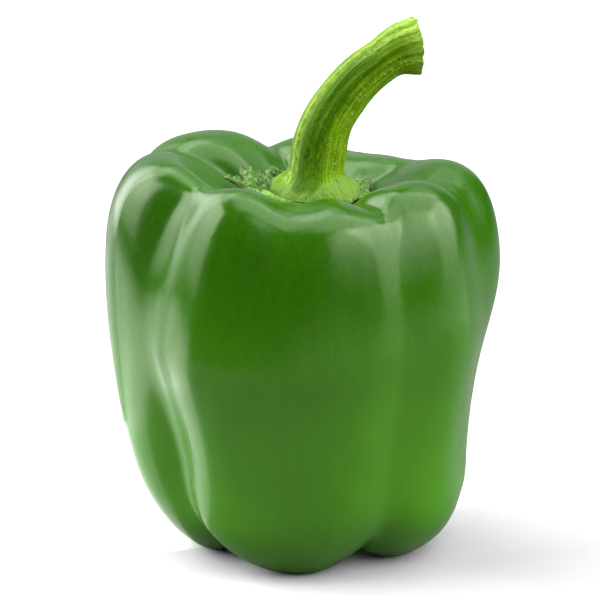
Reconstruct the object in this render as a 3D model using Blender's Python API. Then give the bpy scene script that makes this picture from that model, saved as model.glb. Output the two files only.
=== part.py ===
# A green bell pepper standing on its lobes: the fruit, the calyx round the stalk's foot, and the stalk.
#
# Lengths are in millimetres until a mesh is made, which is in metres. A bearing is an angle round the fruit
# in degrees: 0 is the front (-Y), 90 the right (+X), 180 the back and -90 the left.

import math

import bmesh
import bpy
import numpy as np

MM = 0.001
GAP = 0.3  # clear space between two pieces that touch in the real fruit
SHARP_ANGLE = math.radians(50)

# The crown is the hollow at the top that the calyx sits in. The scar, underneath, is where the flower was.
CROWN_LEVEL_RADIUS = 5.4
CROWN_EDGE_RADIUS = 10.35
CROWN_Z = 79.0
CROWN_EDGE_Z = 79.6
SCAR_Z = 9.0
WAIST_Z = 44.0
HIP_Z = 21.0
# How far the fruit's axis lies from the middle, as (x, y), at the crown, round the sides and at the scar.
AXIS_AT_CROWN = (3.2, -1.0)
AXIS_AT_SIDE = (0.0, 0.0)
AXIS_AT_SCAR = (0.5, -3.0)
AXIS_SHARE_AT_SHOULDER = 0.7  # of its place at the crown

# Each lobe is an upright section through its crest, from the crown over the shoulder and down to the foot.
# waist and hip are radii at WAIST_Z and HIP_Z, and the others are (radius, height) points.
LOBES = {
    "front_left": dict(bearing=-31, inner=(17.5, 82.8), shoulder=(27.5, 87.6), outer=(36.6, 82.7),
                       widest=(41.8, 62), waist=42.0, hip=36.4, toe=(32.5, 5.2), sole=(21.0, -0.5)),
    "front_right": dict(bearing=10, inner=(16.5, 83.3), shoulder=(23.7, 85.1), outer=(36.0, 80.6),
                        widest=(42.0, 60), waist=41.2, hip=36.7, toe=(30.3, 6.4), sole=(21.0, -0.5)),
    "right": dict(bearing=55, inner=(17.5, 83.8), shoulder=(25.5, 86.9), outer=(37.2, 82.1),
                  widest=(43.2, 64), waist=41.8, hip=37.7, toe=(33.1, 5.1), sole=(21.7, -0.8)),
    "right_back": dict(bearing=98, inner=(20.5, 84.4), shoulder=(29.5, 86.7), outer=(39.1, 81.9),
                       widest=(44.2, 66.5), waist=39.8, hip=37.4, toe=(32.3, 7.4), sole=(21.0, -0.2)),
    "back_right": dict(bearing=143, inner=(18.0, 84.6), shoulder=(26.2, 84.7), outer=(37.2, 79.8),
                       widest=(42.0, 64), waist=39.5, hip=36.0, toe=(30.0, 7.2), sole=(21.0, -0.2)),
    "back": dict(bearing=-178, inner=(17.5, 84.9), shoulder=(26.0, 87.6), outer=(36.7, 82.9),
                 widest=(41.5, 66), waist=39.0, hip=35.5, toe=(29.0, 7.0), sole=(20.5, -0.5)),
    "left_back": dict(bearing=-130, inner=(20.5, 86.6), shoulder=(29.5, 90.0), outer=(41.2, 86.1),
                      widest=(43.4, 70), waist=39.8, hip=34.8, toe=(27.5, 7.4), sole=(19.0, 0.8)),
    "left": dict(bearing=-82, inner=(21.5, 82.4), shoulder=(29.5, 89.2), outer=(39.4, 86.4),
                 widest=(43.7, 69.5), waist=42.5, hip=38.2, toe=(29.2, 4.7), sole=(19.7, -0.4)),
}

# Each groove runs between two lobes. bearing is at the shoulder, the side and the foot.
# depth is at the inner slope, shoulder, outer shoulder, side, hip and foot.
# reach is how many degrees its flanks spread to the left and right, on the side and at the foot.
# soft rounds the bottom of the groove at the shoulder, the side and the foot: near 0 is a sharp crease.
GROOVES = {
    "left_to_front": dict(bearing=(-52, -52.5, -43), depth=(2.0, 1.8, 5.4, 4.1, 5.0, 6.0),
                          side_reach=(34, 29), foot_reach=(34, 40), soft=(0.10, 0.22, 0.05)),
    "front_dip": dict(bearing=(-10, -10, -10), depth=(1.0, 2.5, 1.4, 0.2, 0.0, 0.0),
                      side_reach=(24, 22), foot_reach=(24, 22), soft=(0.50, 0.60, 0.60)),
    "front_to_right": dict(bearing=(30, 29.5, 33), depth=(3.2, 4.2, 4.3, 1.6, 2.4, 5.2),
                           side_reach=(26, 26), foot_reach=(38, 44), soft=(0.08, 0.30, 0.06)),
    "right_split": dict(bearing=(78, 70, 74), depth=(1.3, 2.6, 2.9, 1.5, 0.3, 0.0),
                        side_reach=(24, 24), foot_reach=(20, 24), soft=(0.30, 0.45, 0.60)),
    "right_to_back": dict(bearing=(120, 123, 125), depth=(1.5, 0.8, 2.6, 3.0, 4.0, 5.5),
                          side_reach=(26, 26), foot_reach=(46, 38), soft=(0.15, 0.25, 0.06)),
    "back_dip": dict(bearing=(166, 168, 168), depth=(1.0, 1.6, 1.6, 0.8, 0.2, 0.0),
                     side_reach=(24, 20), foot_reach=(24, 20), soft=(0.40, 0.50, 0.60)),
    "back_to_left": dict(bearing=(199, 200, 202), depth=(2.5, 3.0, 4.0, 3.0, 4.0, 5.8),
                         side_reach=(20, 28), foot_reach=(40, 50), soft=(0.08, 0.25, 0.06)),
    "left_split": dict(bearing=(250, 248, 246), depth=(2.2, 2.8, 2.0, 1.2, 0.6, 0.0),
                       side_reach=(18, 26), foot_reach=(22, 28), soft=(0.15, 0.40, 0.60)),
}
FLANK_POWER = 2.3  # how fast a groove's flank flattens out towards the crest
FOOT_SHARE_AT_HIP = 0.35  # how far a groove's reach has gone from side_reach to foot_reach at the hip

# Where each point of a lobe's section lies along it, as a share of its length from crown to scar.
STEPS = np.array([0, 6, 5, 10, 9, 12.5, 16, 23, 23.5, 18.5, 10.5, 10, 12])
STATIONS = np.cumsum(STEPS) / STEPS.sum()
CROWN_EDGE, INNER, SHOULDER, OUTER, WIDEST, HIP, SOLE, SCAR = 2, 3, 4, 5, 6, 8, 10, 12

FRUIT_COLUMNS_PER_LOBE = 10
FRUIT_RINGS = 37
COLUMN_CROWDING = 0.08  # how much closer the columns stand beside a groove
BEARING_STEP = 0.5

# The calyx is a thin collar that lies on the crown round the stalk's foot and turns up at its rim.
CALYX_SIDES = 40
CALYX_RINGS = 8
CALYX_RADIUS = 12.5
CALYX_THICKNESS = 1.5
CALYX_RIM_THICKNESS = 0.8
CALYX_RIM_CURL = 1.2
CALYX_CURL_FROM = 0.55  # the share of its radius where the collar starts to thin and turn up
# The teeth of its rim, as bearing: how far the tooth stands out past CALYX_RADIUS.
CALYX_TEETH = {-158: 4.0, -126: 7.5, -98: 7.5, -42: 3.5, 2: 2.5, 44: 2.0, 82: 1.5, 117: 2.5, 165: 1.5}
TOOTH_HALF_ANGLE = 20.0
TOOTH_POWER = 1.3  # over 1 gives a tooth hollow sides and a sharp tip
CROWN_SLOPE = math.radians(40)  # the steepest slope under the collar
CROWN_SAMPLES = 60

# The stalk's middle line, as (x, y, z, radius), from where it leaves its foot to its flared cut end.
STEM_SIDES = 20
STEM_RINGS = 28
STEM_FOOT_RADIUS = 8.6
STEM_LINE = [
    (3.4, -0.3, 84.4, 6.9), (3.7, 0.2, 89.6, 6.0), (5.3, 0.6, 95.6, 5.8), (8.5, 1.0, 101.1, 5.4),
    (12.8, 1.6, 106.1, 5.1), (17.7, 2.3, 109.9, 4.8), (22.6, 3.0, 112.4, 5.1), (26.3, 3.5, 113.1, 6.1),
]
STEM_RIBS = 5
STEM_RIB_HEIGHT = 0.25


def clear_scene():
    for obj in list(bpy.data.objects):
        bpy.data.objects.remove(obj)


def spline(knots, values, at):
    """A natural cubic spline through values[i] at knots[i], read at the places in at."""
    values = np.asarray(values, float)
    step = np.diff(knots)
    count = len(knots)
    system = np.eye(count)
    right = np.zeros_like(values)
    for i in range(1, count - 1):
        system[i, i - 1:i + 2] = step[i - 1], 2 * (step[i - 1] + step[i]), step[i]
        right[i] = 6 * ((values[i + 1] - values[i]) / step[i] - (values[i] - values[i - 1]) / step[i - 1])
    bend = np.linalg.solve(system, right)
    span = np.clip(np.searchsorted(knots, at) - 1, 0, count - 2)
    width = step[span][:, None]
    after = (at - knots[span])[:, None] / width
    before = 1 - after
    return (before * values[span] + after * values[span + 1]
            + ((before ** 3 - before) * bend[span] + (after ** 3 - after) * bend[span + 1]) * width ** 2 / 6)


def ease(knots, values, at):
    """Values that change smoothly from knot to knot and never pass them."""
    values = np.asarray(values, float)
    span = np.clip(np.searchsorted(knots, at) - 1, 0, len(knots) - 2)
    share = np.clip((at - knots[span]) / (knots[span + 1] - knots[span]), 0, 1)
    share = share * share * (3 - 2 * share)
    return values[span] * (1 - share) + values[span + 1] * share


def lobe_section(lobe, along):
    """The crest as (radius, height) at each place along it. Mirrored ends make it level at both poles."""
    sole_radius, sole_z = lobe["sole"]
    half_way_to_scar = (0.55 * sole_radius, (sole_z + SCAR_Z) / 2)
    points = np.array([
        (0, CROWN_Z), (CROWN_LEVEL_RADIUS, CROWN_Z), (CROWN_EDGE_RADIUS, CROWN_EDGE_Z),
        lobe["inner"], lobe["shoulder"], lobe["outer"], lobe["widest"],
        (lobe["waist"], WAIST_Z), (lobe["hip"], HIP_Z), lobe["toe"], lobe["sole"],
        half_way_to_scar, (0, SCAR_Z),
    ], float)
    over_crown = points[3:0:-1] * (-1, 1)
    under_scar = points[-2:-5:-1] * (-1, 1)
    knots = np.concatenate([-STATIONS[3:0:-1], STATIONS, 2 - STATIONS[-2:-5:-1]])
    return spline(knots, np.concatenate([over_crown, points, under_scar]), along)


def hull(bearings, along):
    """The fruit without its grooves: the lobes' sections blended into each other, as points[column, ring]."""
    lobes = sorted(LOBES.values(), key=lambda lobe: lobe["bearing"])
    places = np.array([lobe["bearing"] for lobe in lobes], float)
    sections = np.array([lobe_section(lobe, along) for lobe in lobes])
    ends = np.concatenate([[places[-1] - 360], places, [places[0] + 360]])
    turned = (bearings + 180) % 360 - 180
    span = np.clip(np.searchsorted(ends, turned, side="right") - 1, 0, len(ends) - 2)
    share = (turned - ends[span]) / (ends[span + 1] - ends[span])
    share = (share ** 3 * (share * (6 * share - 15) + 10))[..., None]
    ring = np.arange(len(along))[None, :]
    before = sections[(span - 1) % len(lobes), ring]
    after = sections[span % len(lobes), ring]
    radius, height = np.moveaxis(before * (1 - share) + after * share, -1, 0)
    marks = STATIONS[[0, SHOULDER, WIDEST, HIP, SCAR]]
    axis = [
        ease(marks, [crown, AXIS_SHARE_AT_SHOULDER * crown, side, side, scar], along)
        for crown, side, scar in zip(AXIS_AT_CROWN, AXIS_AT_SIDE, AXIS_AT_SCAR)
    ]
    turn = np.radians(bearings)
    return np.stack([radius * np.sin(turn) + axis[0], axis[1] - radius * np.cos(turn), height], axis=-1)


def groove_bearing(groove, along):
    shoulder, side, foot = groove["bearing"]
    marks = STATIONS[[0, SHOULDER, WIDEST, HIP, SOLE, SCAR]]
    return ease(marks, [shoulder, shoulder, side, side, foot, foot], along)


def groove_depth(groove, bearings, along):
    """How far the groove sinks the surface at each point."""
    marks = STATIONS[[CROWN_EDGE, INNER, SHOULDER, OUTER, WIDEST, HIP, SOLE, SCAR]]
    depth = ease(marks, [0, *groove["depth"], 0], along)
    marks = STATIONS[[0, SHOULDER, WIDEST, HIP, SOLE, SCAR]]
    shoulder, side, foot = groove["soft"]
    soft = ease(marks, [shoulder, shoulder, side, (side + foot) / 2, foot, foot], along)
    foot_share = ease(marks, [0, 0, 0, FOOT_SHARE_AT_HIP, 1, 1], along)
    reach = [
        at_side + (at_foot - at_side) * foot_share
        for at_side, at_foot in zip(groove["side_reach"], groove["foot_reach"])
    ]
    away = (bearings - groove_bearing(groove, along) + 180) % 360 - 180
    share = np.clip(np.abs(away) / np.where(away < 0, reach[0], reach[1]), 0, 1)
    rounded = (np.sqrt(share ** 2 + soft ** 2) - soft) / (np.sqrt(1 + soft ** 2) - soft)
    return depth * (1 - rounded) ** FLANK_POWER


def fruit_surface(bearings, along):
    """Points of the skin at bearings[column, ring], each sunk square to the hull by the grooves."""
    points = hull(bearings, along)
    across = hull(bearings + BEARING_STEP, along) - hull(bearings - BEARING_STEP, along)
    down = np.gradient(points, axis=1)
    normal = np.cross(down, across)
    normal /= np.maximum(np.linalg.norm(normal, axis=-1, keepdims=True), 1e-9)
    normal[:, along <= 0] = (0, 0, 1)
    normal[:, along >= 1] = (0, 0, -1)
    sunk = sum(groove_depth(groove, bearings, along) for groove in GROOVES.values())
    return points - normal * sunk[..., None]


def fruit_columns(along):
    """Bearings whose columns run down the grooves, with the columns closer together next to a groove."""
    lines = [groove_bearing(groove, along) for groove in GROOVES.values()]
    lines.append(lines[0] + 360)
    share = np.arange(FRUIT_COLUMNS_PER_LOBE) / FRUIT_COLUMNS_PER_LOBE
    share = share - COLUMN_CROWDING * np.sin(2 * math.pi * share)
    columns = [left + (right - left) * s for left, right in zip(lines, lines[1:]) for s in share]
    return np.array(columns)


def crown_height(bearing, radii):
    """How high the skin is at these distances from the crown's axis, along one bearing."""
    along = np.linspace(0, STATIONS[SHOULDER], CROWN_SAMPLES)
    points = fruit_surface(np.full((1, len(along)), float(bearing)), along)[0]
    distance = np.hypot(points[:, 0] - points[0, 0], points[:, 1] - points[0, 1])
    return np.interp(radii, distance, points[:, 2])


def calyx_radius(bearing):
    """The collar's outline: a round with pointed teeth."""
    radius = CALYX_RADIUS
    for tooth, length in CALYX_TEETH.items():
        away = abs((bearing - tooth + 180) % 360 - 180) / TOOTH_HALF_ANGLE
        radius += length * max(0, 1 - away) ** TOOTH_POWER
    return radius


def calyx_underside(bearing, radii):
    """The collar's underside follows the crown and clears it, measured square to the crown's slope."""
    curl = CALYX_RIM_CURL * calyx_rim_share(bearing, radii) ** 2
    return crown_height(bearing, radii) + GAP / math.cos(CROWN_SLOPE) + curl


def calyx_top(bearing, radii):
    thinning = (CALYX_THICKNESS - CALYX_RIM_THICKNESS) * calyx_rim_share(bearing, radii)
    return calyx_underside(bearing, radii) + CALYX_THICKNESS - thinning


def calyx_rim_share(bearing, radii):
    """0 over the seat, rising to 1 at the rim."""
    return np.clip((radii / calyx_radius(bearing) - CALYX_CURL_FROM) / (1 - CALYX_CURL_FROM), 0, 1)


def calyx_rings():
    """Rings from the middle of the top out to the rim, and back along the underside to its middle."""
    top, under = [], []
    for bearing in np.linspace(-180, 180, CALYX_SIDES, endpoint=False):
        radii = np.linspace(0, calyx_radius(bearing), CALYX_RINGS)
        turn = math.radians(bearing)
        x = AXIS_AT_CROWN[0] + radii * math.sin(turn)
        y = AXIS_AT_CROWN[1] - radii * math.cos(turn)
        top.append(np.stack([x, y, calyx_top(bearing, radii)], axis=-1))
        under.append(np.stack([x, y, calyx_underside(bearing, radii)], axis=-1))
    return np.concatenate([np.array(top), np.array(under)[:, ::-1]], axis=1)


def stem_foot_height():
    """The stalk's foot is level and stands on the highest point of the collar under it."""
    reach = STEM_FOOT_RADIUS + STEM_RIB_HEIGHT
    radii = np.array([0, reach])
    return GAP + max(calyx_top(bearing, radii).max() for bearing in range(-180, 180, 10))


def stem_rings():
    """Rings of the stalk from its cut end down to its foot, with a middle point closing each end."""
    foot = (*AXIS_AT_CROWN, stem_foot_height(), STEM_FOOT_RADIUS)
    line = np.array([foot, *STEM_LINE])
    steps = np.linalg.norm(np.diff(line[:, :3], axis=0), axis=1)
    knots = np.concatenate([[0], np.cumsum(steps)])
    path = spline(knots, line, np.linspace(0, knots[-1], STEM_RINGS))
    centre, radius = path[:, :3], path[:, 3]
    tangent = np.gradient(centre, axis=0)
    tangent[0] = (0, 0, 1)  # the foot is level
    tangent /= np.linalg.norm(tangent, axis=1, keepdims=True)
    side = np.cross(tangent, (0, 1, 0))
    side /= np.linalg.norm(side, axis=1, keepdims=True)
    front = np.cross(side, tangent)
    rings = []
    for turn in np.linspace(0, 2 * math.pi, STEM_SIDES, endpoint=False):
        reach = radius + STEM_RIB_HEIGHT * math.cos(STEM_RIBS * turn)
        rings.append(centre + (side * math.cos(turn) - front * math.sin(turn)) * reach[:, None])
    rings = np.array(rings)
    foot_middle = np.repeat(centre[None, :1], STEM_SIDES, axis=0)
    cut_middle = np.repeat(centre[None, -1:], STEM_SIDES, axis=0)
    return np.concatenate([cut_middle, rings[:, ::-1], foot_middle], axis=1)


def loft(name, grid, material):
    """A closed solid through grid[column, ring]. Its first and last rings are single points."""
    columns, rings = grid.shape[:2]
    bm = bmesh.new()
    start = bm.verts.new(grid[0, 0] * MM)
    end = bm.verts.new(grid[0, -1] * MM)
    verts = [[bm.verts.new(point * MM) for point in column[1:-1]] for column in grid]
    for column in range(columns):
        here, there = verts[column], verts[(column + 1) % columns]
        bm.faces.new((start, here[0], there[0]))
        for ring in range(rings - 3):
            bm.faces.new((here[ring], here[ring + 1], there[ring + 1], there[ring]))
        bm.faces.new((end, there[-1], here[-1]))
    bmesh.ops.recalc_face_normals(bm, faces=bm.faces)
    mesh = bpy.data.meshes.new(name)
    bm.to_mesh(mesh)
    bm.free()
    mesh.shade_smooth()
    mesh.set_sharp_from_angle(angle=SHARP_ANGLE)
    mesh.materials.append(material)
    obj = bpy.data.objects.new(name, mesh)
    bpy.context.scene.collection.objects.link(obj)
    return obj


def flatten_soles(fruit):
    """Cuts the soles level where the fruit's weight presses them on the table."""
    side = 0.2
    mesh = bpy.data.meshes.new("table_cutter")
    bm = bmesh.new()
    bmesh.ops.create_cube(bm, size=side)
    bm.to_mesh(mesh)
    bm.free()
    cutter = bpy.data.objects.new("table_cutter", mesh)
    cutter.location = (0, 0, -side / 2)
    cutter.hide_render = True
    cutter.display_type = "WIRE"
    bpy.context.scene.collection.objects.link(cutter)
    cut = fruit.modifiers.new("soles", "BOOLEAN")
    cut.operation = "DIFFERENCE"
    cut.object = cutter


def material(name, color, roughness):
    made = bpy.data.materials.new(name)
    made.use_nodes = True
    shader = made.node_tree.nodes["Principled BSDF"]
    shader.inputs["Base Color"].default_value = (*color, 1)
    shader.inputs["Roughness"].default_value = roughness
    shader.inputs["Metallic"].default_value = 0
    return made


def main():
    clear_scene()
    along = np.interp(np.linspace(0, SCAR, FRUIT_RINGS), range(SCAR + 1), STATIONS)
    skin = fruit_surface(fruit_columns(along), along)
    # The row's origin is under the middle of the fruit's outline.
    outline = skin.reshape(-1, 3)
    middle = (outline.min(axis=0) + outline.max(axis=0)) / 2 * (1, 1, 0)
    fruit = loft("fruit", skin - middle, material("waxy_green_skin", (0.03, 0.13, 0.01), 0.22))
    flatten_soles(fruit)
    loft("calyx", calyx_rings() - middle, material("crinkled_calyx", (0.08, 0.22, 0.03), 0.5))
    loft("stem", stem_rings() - middle, material("ribbed_stalk", (0.22, 0.42, 0.05), 0.5))


main()
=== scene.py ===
import math

import bpy
import numpy as np
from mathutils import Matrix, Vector, noise


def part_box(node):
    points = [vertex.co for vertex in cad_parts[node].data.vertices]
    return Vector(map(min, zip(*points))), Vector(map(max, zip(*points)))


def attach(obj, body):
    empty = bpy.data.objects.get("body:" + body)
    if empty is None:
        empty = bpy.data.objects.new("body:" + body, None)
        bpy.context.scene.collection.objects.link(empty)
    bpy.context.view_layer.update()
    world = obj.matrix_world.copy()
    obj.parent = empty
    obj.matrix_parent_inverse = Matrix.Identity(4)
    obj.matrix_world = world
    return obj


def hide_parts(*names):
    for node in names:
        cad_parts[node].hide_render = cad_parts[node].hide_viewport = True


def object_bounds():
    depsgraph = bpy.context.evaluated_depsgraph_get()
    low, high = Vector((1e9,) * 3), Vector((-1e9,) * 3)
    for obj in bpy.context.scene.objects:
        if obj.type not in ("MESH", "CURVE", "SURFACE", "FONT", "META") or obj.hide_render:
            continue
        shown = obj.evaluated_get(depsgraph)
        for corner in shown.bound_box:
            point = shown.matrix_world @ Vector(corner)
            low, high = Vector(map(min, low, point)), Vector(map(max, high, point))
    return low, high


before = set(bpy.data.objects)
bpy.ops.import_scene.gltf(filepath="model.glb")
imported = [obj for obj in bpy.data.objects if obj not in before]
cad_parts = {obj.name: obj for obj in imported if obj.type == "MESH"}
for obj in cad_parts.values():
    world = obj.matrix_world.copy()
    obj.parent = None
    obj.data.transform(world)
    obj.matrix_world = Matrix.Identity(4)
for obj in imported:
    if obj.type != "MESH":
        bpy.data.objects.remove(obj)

# A green bell pepper standing on its lobes, with its calyx and its stalk in the crown.
# The dictionaries are in millimetres and degrees. A bearing goes round the fruit: 0 is the front,
# 90 the right, 180 the back, -90 the left. Meshes, lights and the camera are in metres.
mm = 0.001
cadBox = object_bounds()
tiny = 1e-9                         # keeps a division at the poles from failing
seedShift = np.array((13.7, 7.1, 3.3))


def smoothCurve(knots, values, at):
    # natural cubic spline through values[i] at knots[i]
    values = np.asarray(values, float)
    step = np.diff(knots)
    count = len(knots)
    system = np.eye(count)
    right = np.zeros_like(values)
    for i in range(1, count - 1):
        system[i, i - 1:i + 2] = step[i - 1], 2 * (step[i - 1] + step[i]), step[i]
        right[i] = 6 * ((values[i + 1] - values[i]) / step[i] - (values[i] - values[i - 1]) / step[i - 1])
    bend = np.linalg.solve(system, right)
    span = np.clip(np.searchsorted(knots, at) - 1, 0, count - 2)
    width = step[span][:, None]
    after = (at - knots[span])[:, None] / width
    before = 1 - after
    straight = before * values[span] + after * values[span + 1]
    bulge = (before ** 3 - before) * bend[span] + (after ** 3 - after) * bend[span + 1]
    return straight + bulge * width ** 2 / 6


def easeBetween(knots, values, at):
    # goes smoothly from one value to the next and never past either
    knots, values = np.asarray(knots, float), np.asarray(values, float)
    span = np.clip(np.searchsorted(knots, at) - 1, 0, len(knots) - 2)
    share = np.clip((at - knots[span]) / (knots[span + 1] - knots[span]), 0, 1)
    share = share * share * (3 - 2 * share)
    return values[span] * (1 - share) + values[span + 1] * share


def turnBetween(angles, middle):
    # signed degrees from middle to angles, from -180 to 180
    return (angles - middle + 180) % 360 - 180


def bump(away, halfWidth, power=2.0):
    # 1 in the middle, falling smoothly to 0 at halfWidth
    return np.clip(1 - np.abs(away / halfWidth) ** power, 0, 1) ** 2


def lumps(points, size, seed, stretch=(1, 1, 1)):
    # smooth noise from -1 to 1, with lumps about this size
    scaledPoints = points.reshape(-1, 3) / (size * np.array(stretch)) + seed * seedShift
    return np.array([noise.noise(Vector(point)) for point in scaledPoints]).reshape(points.shape[:-1])


def unevenness(points, look):
    # lumps of a height, a size, a seed and perhaps a stretch
    return look["height"] * lumps(points, look["size"], look["seed"], look.get("stretch", (1, 1, 1)))


def gridMesh(name, grid, attributes, material):
    # grid[column, ring] goes round the piece and along it; its first and last rings are single points
    columns, rings = grid.shape[:2]
    inside = rings - 2
    points = np.concatenate([grid[:, 1:-1].reshape(-1, 3), grid[:1, 0], grid[:1, -1]]) * mm
    first, last = columns * inside, columns * inside + 1
    faces = []
    for column in range(columns):
        here, there = column * inside, (column + 1) % columns * inside
        faces.append((first, here, there))
        faces += [(here + k, here + k + 1, there + k + 1, there + k) for k in range(inside - 1)]
        faces.append((last, there + inside - 1, here + inside - 1))
    mesh = bpy.data.meshes.new(name)
    mesh.from_pydata(points.tolist(), [], faces)
    mesh.shade_smooth()
    for label, values in attributes.items():
        flat = np.concatenate([values[:, 1:-1].reshape(-1, *values.shape[2:]), values[:1, 0], values[:1, -1]])
        kind, field = ("FLOAT_VECTOR", "vector") if values.ndim == 3 else ("FLOAT", "value")
        mesh.attributes.new(label, kind, "POINT").data.foreach_set(field, flat.astype(np.float32).ravel())
    mesh.materials.append(material)
    piece = bpy.data.objects.new(name, mesh)
    bpy.context.scene.collection.objects.link(piece)
    return piece


def addNode(tree, kind, **settings):
    node = tree.nodes.new("ShaderNode" + kind)
    for setting, value in settings.items():
        setattr(node, setting, value)
    return node


def attributeSocket(tree, label, output="Fac"):
    return addNode(tree, "Attribute", attribute_name=label).outputs[output]


def scaled(tree, vector, by):
    node = addNode(tree, "VectorMath", operation="MULTIPLY")
    tree.links.new(vector, node.inputs[0])
    node.inputs[1].default_value = by
    return node.outputs[0]


def noiseMask(tree, vector, scale, low, high, detail, distortion=0.0):
    # 0 where the noise is under low, 1 where it is over high
    made = addNode(tree, "TexNoise")
    made.inputs["Scale"].default_value = 1
    made.inputs["Detail"].default_value = detail
    made.inputs["Distortion"].default_value = distortion
    tree.links.new(scaled(tree, vector, scale), made.inputs["Vector"])
    return between(tree, made.outputs["Fac"], low, high)


def between(tree, value, low, high, toLow=0.0, toHigh=1.0):
    made = addNode(tree, "MapRange", interpolation_type="SMOOTHSTEP")
    tree.links.new(value, made.inputs["Value"])
    for socket, amount in (("From Min", low), ("From Max", high), ("To Min", toLow), ("To Max", toHigh)):
        made.inputs[socket].default_value = amount
    return made.outputs["Result"]


def combine(tree, operation, first, second):
    made = addNode(tree, "Math", operation=operation)
    for socket, value in zip(made.inputs, (first, second)):
        if isinstance(value, (int, float)):
            socket.default_value = value
        else:
            tree.links.new(value, socket)
    return made.outputs[0]


def paint(tree, under, over, amount):
    # over is laid on under by amount, from 0 to 1; a colour is a socket or three numbers
    made = addNode(tree, "Mix", data_type="RGBA")
    for socket, value in ((made.inputs[6], under), (made.inputs[7], over)):
        if isinstance(value, tuple):
            socket.default_value = (*value, 1)
        else:
            tree.links.new(value, socket)
    tree.links.new(amount, made.inputs[0])
    return made.outputs[2]


def addBump(tree, height, depth, strength, under=None):
    # depth is in millimetres
    made = addNode(tree, "Bump")
    made.inputs["Strength"].default_value = strength
    made.inputs["Distance"].default_value = depth * mm
    tree.links.new(height, made.inputs["Height"])
    if under is not None:
        tree.links.new(under, made.inputs["Normal"])
    return made.outputs["Normal"]


def newMaterial(name, sockets):
    material = bpy.data.materials.new(name)
    material.use_nodes = True
    shader = material.node_tree.nodes["Principled BSDF"]
    for socket, value in sockets.items():
        shader.inputs[socket].default_value = value
    return material, material.node_tree, shader


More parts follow.
